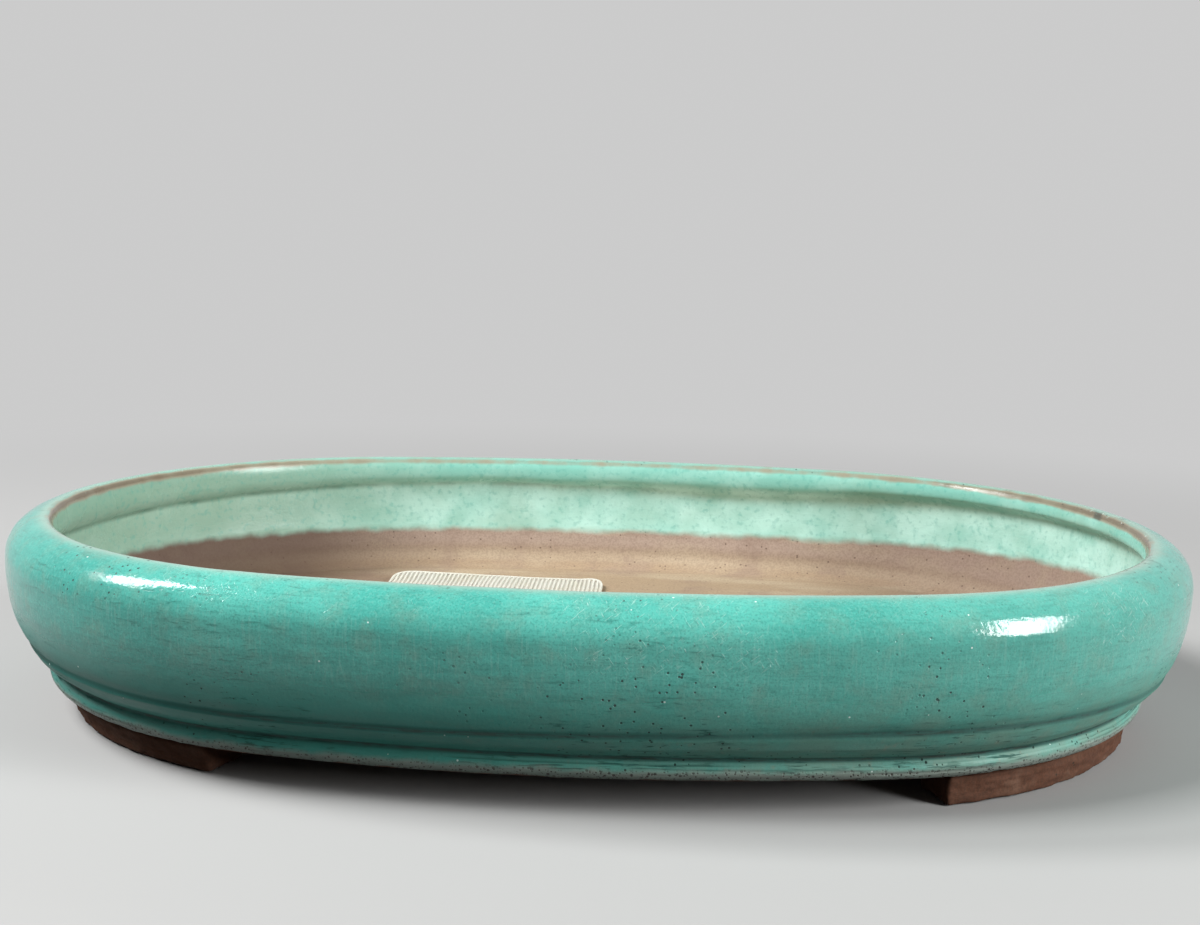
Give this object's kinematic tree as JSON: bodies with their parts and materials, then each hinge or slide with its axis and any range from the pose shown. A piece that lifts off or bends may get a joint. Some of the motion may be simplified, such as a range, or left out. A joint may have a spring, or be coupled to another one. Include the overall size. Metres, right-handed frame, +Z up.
{
  "type": "oval bonsai pot",
  "caption": "Shallow oval bonsai pot with a bulging jade-green glazed wall, a moulded base, bare clay feet, drainage holes, plastic mesh and wire clips.",
  "frame": {"origin": "on the surface that the pot stands on, under the middle of the oval", "axes": "+X along the pot's length to the right as seen from the front, +Y across it to the back, +Z up out of the mouth"},
  "size_m": [0.3, 0.208, 0.0482],
  "materials": {
    "glaze": "satin gloss jade glaze, thin and brown at the lip",
    "floor_clay": "bare fired clay, dusty",
    "foot_clay": "bare red-brown fired clay, rough",
    "net_plastic": "cream-white plastic net",
    "clip_wire": "satin round wire"
  },
  "bodies": {
    "root": {"pot_wall": "glaze", "floor_slab": "floor_clay", "foot_front_left": "foot_clay", "foot_front_right": "foot_clay", "foot_back_left": "foot_clay", "foot_back_right": "foot_clay", "drainage_mesh_left": "net_plastic", "drainage_mesh_right": "net_plastic", "mesh_clip_left": "clip_wire", "mesh_clip_right": "clip_wire"}
  },
  "joints": []
}
